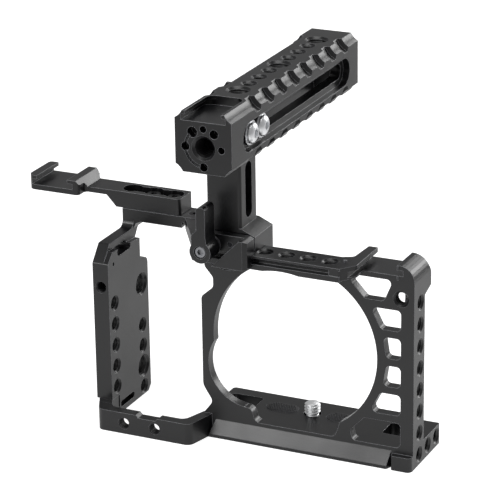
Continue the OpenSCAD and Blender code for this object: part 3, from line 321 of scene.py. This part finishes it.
def many(shapes):
    """Joins (points, faces) shapes into one pair of arrays."""
    starts = np.cumsum([0] + [len(p) for p, f in shapes[:-1]])
    return (np.concatenate([p for p, f in shapes]),
            np.concatenate([f + s for (p, f), s in zip(shapes, starts)]))


def ride_as(piece, body):
    """Joins a new piece to its body and prints its face count."""
    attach(piece, body)
    print(piece.name, "rides on", body, "with", len(piece.data.polygons), "faces")


print("quads of a closed grid of 3 by 4 points:", len(grid_faces(3, 4, True, True)))

# %% [markdown]
# The cage is covered in tapped holes: quarter-inch holes with 20 turns to the inch,
# three-eighths holes with 16, and three M5 holes. A tap cuts a helical groove, and from
# outside its crests show as fine bright arcs. Each hole gets a sleeve whose inner wall is
# that helix, drawn as a wave on a grid, because a wave needs far fewer faces than a cut.
# The record lists the holes with their wall radius and length. It leaves out the rail's
# first two holes, which the clamp covers, so they are copied from the third.
# %% Threads in the tapped holes
INCH = 25.4
PITCH = {2.6: INCH / 20, 4.0: INCH / 16, 2.1: 0.8}
RAIL_PITCH = 9.0
GROOVE, FADE = 0.27, 0.35
SLEEVE_IN, SLEEVE_OUT = 0.01, 0.12
STEEP, FLAT = 1.35, 0.1


def thread_wave(angle, height, pitch):
    """Triangle wave of height over pitch less angle over a turn, 0 at a root and 1 at a crest.
    It is stretched by STEEP, lowered by FLAT and clipped, so roots and crests are flat."""
    phase = (height / pitch - angle / (2 * np.pi)) % 1.0
    return np.clip(STEEP * (1 - np.abs(2 * phase - 1)) - FLAT, 0, 1)


def thread_sleeve(wall, pitch, length, around=36, per_turn=8):
    """Sleeve about Z whose inner side has r = wall + SLEEVE_IN - GROOVE * pitch * fade * wave.
    The fade is 0 at both ends, and the outer side lies just inside the metal."""
    rows = int(math.ceil(length / pitch * per_turn)) + 1
    z = np.linspace(length / 2, -length / 2, rows)[:, None]
    angle = np.linspace(0, 2 * np.pi, around, endpoint=False)[None, :]
    fade = np.clip((length / 2 - np.abs(z)) / (FADE * pitch), 0, 1)
    inner = wall + SLEEVE_IN - GROOVE * pitch * fade * thread_wave(angle, z, pitch)
    radius = np.concatenate([inner, np.full((2, around), wall + SLEEVE_OUT)])
    height = np.concatenate([np.broadcast_to(z, (rows, around)),
                             np.broadcast_to(z[[-1, 0]], (2, around))])
    points = np.stack([radius * np.cos(angle), radius * np.sin(angle), height], axis=-1)
    return points.reshape(-1, 3), grid_faces(rows + 2, around, True, True)


def stand_along(points, place, axis):
    """Turns points about Z to stand along an axis, and moves them to a place."""
    axis = np.array(axis, float)
    side = np.cross(axis, [0.0, 0.0, 1.0] if abs(axis[2]) < 0.9 else [1.0, 0.0, 0.0])
    side /= np.linalg.norm(side)
    return points @ np.array([side, np.cross(axis, side), axis]) * MM + np.array(place)


holes = [m for m in frame["record"]["mounts"] if m["kind"] == "threaded_hole"]
rail_hole = next(m for m in holes if m["name"] == "rail_hole_3")
for back in (1, 2):
    x, y, z = rail_hole["pos_m"]
    holes.append(dict(rail_hole, name="rail_hole_%d" % (3 - back),
                      pos_m=[x - RAIL_PITCH * back * MM, y, z]))
for body in ("cage", "grip"):
    chosen = [h for h in holes if h["name"].startswith("grip_") == (body == "grip")]
    shapes = []
    for hole in chosen:
        wall, length = hole["dims"]["r_mm"], hole["dims"]["length_mm"]
        points, faces = thread_sleeve(wall, PITCH[wall], length)
        shapes.append((stand_along(points, hole["pos_m"], hole["axis"]), faces))
    # The sleeves take the thread finish, whose darker colour is painted shade in the holes.
    threads = mesh_object(body + "_hole_threads", *many(shapes), thread_with_painted_shade)
    ride_as(threads, body)

# %% [markdown]
# The camera screw is a quarter-inch screw that is held captive: below its thread the
# shank is thinner, so it turns freely in the deck. The solid leaves the thread plain. Its
# head and neck are kept from a merged copy of the solid, and the thread above them is a
# helix carried up the screw, cut off by the chamfer at its tip.
# %% Camera screw
screw_low, screw_high = [np.array(v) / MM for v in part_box("camera_screw")]
screw_x, screw_y = (screw_low + screw_high)[:2] / 2
SCREW_R, ROOT_R = INCH / 8, 2.45
THREAD_LOW, TIP, LAP, RUN_IN = 8.6, 0.6, 0.05, 0.3


def screw_thread(radius, root, pitch, low, high, tip, around=48, per_turn=14):
    """Closed rod about Z, r = root + (radius - root) * start * wave, cut by a chamfer at the
    tip. The start grows from 0 to 1 over the first RUN_IN of a turn."""
    rows = int(math.ceil((high - low) / pitch * per_turn)) + 1
    z = np.linspace(low, high, rows)[:, None]
    angle = np.linspace(0, 2 * np.pi, around, endpoint=False)[None, :]
    start = np.clip((z - low) / (RUN_IN * pitch), 0, 1)
    r = root + (radius - root) * start * thread_wave(angle, z, pitch)
    r = np.minimum(r, radius - np.clip(z - (high - tip), 0, None))
    radii = np.concatenate([np.zeros((1, around)), r, np.zeros((1, around))])
    height = np.broadcast_to(np.concatenate([z[:1], z, z[-1:]]), radii.shape)
    points = np.stack([radii * np.cos(angle), radii * np.sin(angle), height], axis=-1)
    return points.reshape(-1, 3), grid_faces(rows + 2, around, False, True)


points, faces = screw_thread(SCREW_R, ROOT_R, INCH / 20, THREAD_LOW - LAP, screw_high[2], TIP)
points = (points + [screw_x, screw_y, 0]) * MM
thread = mesh_object("camera_screw_thread", points, faces, plated)
head_mesh = node_objects["camera_screw"].data.copy()
head = bmesh.new()
head.from_mesh(head_mesh)
bmesh.ops.remove_doubles(head, verts=head.verts, dist=1e-6)
cut = bmesh.ops.bisect_plane(head, geom=head.verts[:] + head.edges[:] + head.faces[:],
                             plane_co=(0, 0, (THREAD_LOW - 2 * LAP) * MM), plane_no=(0, 0, 1),
                             clear_outer=True)
rim = [e for e in cut["geom_cut"] if isinstance(e, bmesh.types.BMEdge)]
bmesh.ops.holes_fill(head, edges=rim)
head.to_mesh(head_mesh)
head.free()
neck = bpy.data.objects.new("camera_screw_head", head_mesh)
bpy.context.scene.collection.objects.link(neck)
for piece in (thread, neck):
    ride_as(piece, "tripod_screw")
    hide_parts("camera_screw")

# %% [markdown]
# Two rubber pads grip the bottom of the camera. Each is a moulded strip with round ends,
# sunk in the deck, with rows of small domes on top. The pad is a set of outlines that
# shrink towards its middle line, and one dome is repeated at every place of a hexagonal
# pattern that lies far enough inside the outline.
# %% Deck pads


def pad_body(length, width, low, high, edge, around=56):
    """Outlines with round ends, inset from 0 to half the width, closed along the middle line."""
    insets = np.array([width / 2, 0, 0, 0.3 * edge, edge, width / 2])
    heights = np.array([low, low, high - edge, high - 0.3 * edge, high, high])
    angle = (np.arange(around) + 0.5) / around * 2 * np.pi
    middle = np.where(np.cos(angle) > 0, 1, -1) * (length - width) / 2
    r = (width / 2 - insets)[:, None]
    points = np.stack([middle + r * np.cos(angle), r * np.sin(angle),
                       np.broadcast_to(heights[:, None], (len(insets), around))], axis=-1)
    return points.reshape(-1, 3), grid_faces(len(insets), around, False, True)


def dome(radius, height, around=8, rows=4):
    """Quarter-wave dome: radius times the cosine, height times the sine, closed at the top."""
    t = np.radians(np.linspace(-20, 90, rows))[:, None]
    angle = np.linspace(0, 2 * np.pi, around, endpoint=False)[None, :]
    r = radius * np.cos(t)
    points = np.stack([r * np.cos(angle), r * np.sin(angle),
                       np.broadcast_to(height * np.sin(t), (rows, around))], axis=-1)
    return points.reshape(-1, 3), grid_faces(rows, around, False, True)


DOME_R, DOME_H, DOME_STEP = 0.44, 0.24, 1.12
PAD_EDGE, DOME_MARGIN = 0.3, 0.8
HALF_ROWS, HALF_COLUMNS = 4, 7
for side in ("left", "right"):
    low, high = [np.array(v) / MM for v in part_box("deck_pad_" + side)]
    size, middle = high - low, (low + high) / 2
    base = high[2] - DOME_H
    pad_points, pad_faces = pad_body(size[0], size[1], low[2], base, PAD_EDGE)
    rows, columns = np.meshgrid(np.arange(-HALF_ROWS, HALF_ROWS + 1),
                                np.arange(-HALF_COLUMNS, HALF_COLUMNS + 1), indexing="ij")
    x = (columns + 0.5 * (rows % 2)) * DOME_STEP
    y = rows * DOME_STEP * math.sqrt(0.75)
    out = np.hypot(np.clip(np.abs(x) - (size[0] - size[1]) / 2, 0, None), y)
    spots = np.stack([x, y], axis=-1)[out < size[1] / 2 - DOME_MARGIN]
    dome_points, dome_faces = dome(DOME_R, DOME_H)
    shapes = [(pad_points + [middle[0], middle[1], 0], pad_faces)]
    shapes += [(dome_points + [middle[0] + px, middle[1] + py, base], dome_faces)
               for px, py in spots]
    points, faces = many(shapes)
    pad = mesh_object("dimpled_pad_" + side, points * MM, faces, rubber)
    ride_as(pad, "cage")
    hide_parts("deck_pad_" + side)
    print(len(spots), "domes on the", side, "pad")

# %% [markdown]
# The studio is white paper under one soft lamp, with two lamps behind, one in front on the
# left, and a pale world that fills the shadows. Black gloss shows only what it mirrors, so
# each lamp stands where the photograph's bright faces would mirror it. Paper in such a
# photograph comes out pure white, and its shadow with it, so the camera sees extra light on
# the paper. The gloss sees less of that, and none beyond FAR millimetres from the middle.
# %% Paper
CAMERA_LIFT, GLOSS_LIFT = 0.76, 0.42
NEAR, FAR = 180.0, 360.0
paper, tree, surface, mm = new_finish("white_paper")
surface.inputs["Base Color"].default_value = srgb("e6e6e6")
surface.inputs["Roughness"].default_value = 0.9
rays = add(tree, "LightPath")
reach = add(tree, "VectorMath", {0: mm}, operation="LENGTH")
near = add(tree, "MapRange", {"Value": reach.outputs["Value"], "From Min": NEAR,
                              "From Max": FAR, "To Min": GLOSS_LIFT, "To Max": 0.0})
mirrored = add(tree, "Math", {0: rays.outputs["Is Glossy Ray"], 1: near.outputs["Result"]},
               operation="MULTIPLY")
lift = add(tree, "Math", {0: rays.outputs["Is Camera Ray"], 1: CAMERA_LIFT,
                          2: mirrored.outputs["Value"]}, operation="MULTIPLY_ADD")
surface.inputs["Emission Color"].default_value = (1.0, 1.0, 1.0, 1.0)
tree.links.new(lift.outputs["Value"], surface.inputs["Emission Strength"])


def paper_sheet(width, n=8):
    """Flat square grid of n by n points at height 0."""
    line = np.linspace(-width / 2, width / 2, n)
    x, y = np.meshgrid(line, line, indexing="ij")
    return np.stack([y, x, 0 * x], axis=-1), grid_faces(n, n)


floor = mesh_object("studio_floor", *paper_sheet(14.0), paper)
floor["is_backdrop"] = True
print("paper of", len(floor.data.polygons), "faces")

# %% [markdown]
# Each lamp is a square sheet of light that faces the middle of the object. Its place and
# width are in metres and its power in watts. The world is white to the camera, much dimmer
# in the gloss, and dimmest as a light.
# %% Lamps and world


def soft_lamp(name, place, aim, size, power):
    """A square area lamp that points from place at aim, and isn't straight above it."""
    data = bpy.data.lights.new(name, "AREA")
    data.shape, data.size, data.energy = "SQUARE", size, power
    made = bpy.data.objects.new(name, data)
    bpy.context.scene.collection.objects.link(made)
    back = np.array(place, float) - np.array(aim, float)
    back /= np.linalg.norm(back)
    side = np.cross([0.0, 0.0, 1.0], back)
    side /= np.linalg.norm(side)
    turn = np.eye(4)
    turn[:3, 0], turn[:3, 1], turn[:3, 2], turn[:3, 3] = side, np.cross(back, side), back, place
    made.matrix_world = Matrix(turn.tolist())


AIM = (-0.03, 0.02, 0.07)
LAMPS = {"overhead_box": ((0.05, -0.05, 0.60), 0.35, 1.3),
         "back_right_box": ((0.56, 1.10, 0.42), 0.5, 5.0),
         "back_top_box": ((0.11, 1.16, 0.77), 0.3, 1.6),
         "front_left_box": ((-0.55, -1.03, 0.63), 0.5, 7.0)}
for name, (place, width, power) in LAMPS.items():
    soft_lamp(name, place, AIM, width, power)
WORLD_LIGHT, WORLD_SEEN, GLOSS_SHARE = 0.28, 1.0, 0.1
world = bpy.data.worlds.new("pale_studio")
bpy.context.scene.world = world
world.use_nodes = True
sky = world.node_tree
rays = add(sky, "LightPath")
seen = add(sky, "Math", {0: rays.outputs["Is Glossy Ray"], 1: GLOSS_SHARE,
                         2: rays.outputs["Is Camera Ray"]}, operation="MULTIPLY_ADD")
level = add(sky, "MapRange", {"Value": seen.outputs["Value"],
                              "To Min": WORLD_LIGHT, "To Max": WORLD_SEEN})
back_light = sky.nodes["Background"]
back_light.inputs["Color"].default_value = (1.0, 1.0, 1.0, 1.0)
sky.links.new(level.outputs["Result"], back_light.inputs["Strength"])
bpy.context.scene.view_settings.view_transform = "Standard"
print("lamps:", ", ".join(LAMPS))

# %% [markdown]
# The last cell measures how far the dressed part reaches past the solids, and prints it.
# %% Measure the growth
new_low, new_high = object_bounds()
growth = np.subtract((*new_low, *new_high), (*cad_low, *cad_high)) / MM
print("grown by mm:", np.round(growth, 3))
